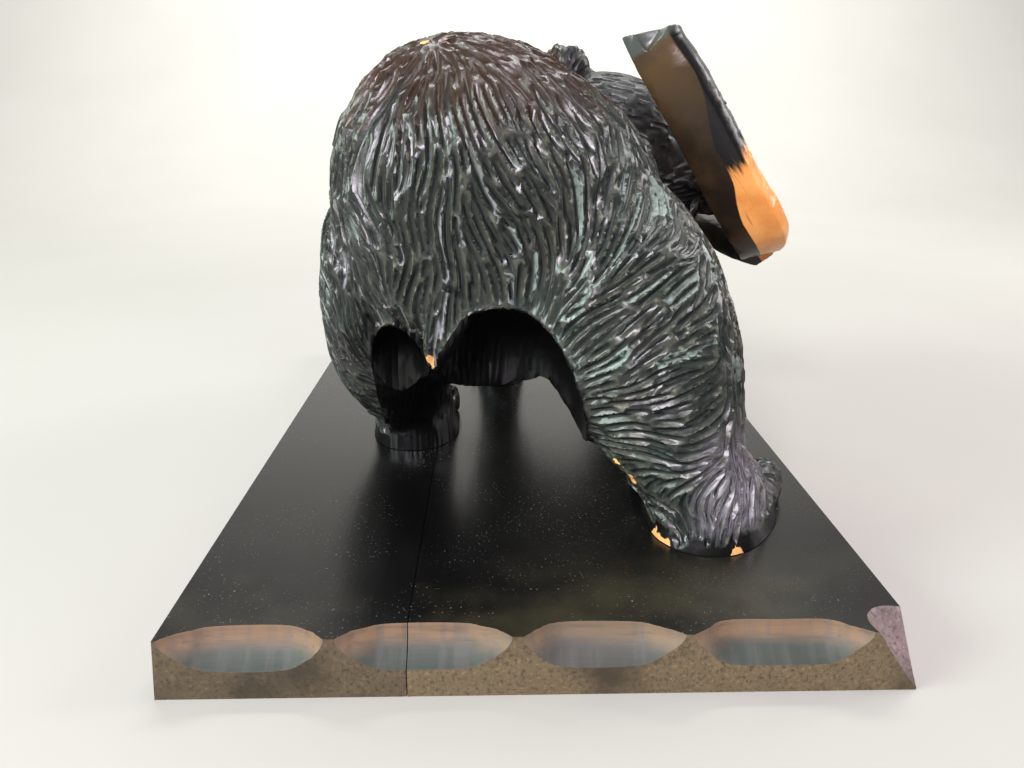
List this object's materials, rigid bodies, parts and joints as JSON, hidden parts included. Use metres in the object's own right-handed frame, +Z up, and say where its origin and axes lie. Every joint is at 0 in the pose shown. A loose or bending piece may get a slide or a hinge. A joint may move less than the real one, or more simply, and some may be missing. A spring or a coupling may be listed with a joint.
{
  "type": "carved bear figure",
  "caption": "Walking bear carved in black-stained wood, head turned back to its right with a salmon across its mouth, on a low lacquered plinth with gouged ends.",
  "frame": {"origin": "centre of the plinth's underside", "axes": "+Z up, +Y the way the bear walks (the plinth's length), +X to the bear's right, the side it turns its head to"},
  "size_m": [0.252, 0.4, 0.2162],
  "materials": {
    "bear_stained_wood": "black stain over an orange-tan wood, satin and waxy on the ridges, reddish on the crown of the rump; the salmon is left partly in the bare orange-tan wood",
    "plinth_narrow_lacquered_wood": "thin black lacquer, semi-gloss, worn to brown along the end grain",
    "plinth_wide_lacquered_wood": "thin black lacquer, semi-gloss, worn to brown along the end grain"
  },
  "bodies": {
    "root": {"bear_with_salmon": "bear_stained_wood", "plinth_board_narrow": "plinth_narrow_lacquered_wood", "plinth_board_wide": "plinth_wide_lacquered_wood"}
  },
  "joints": []
}
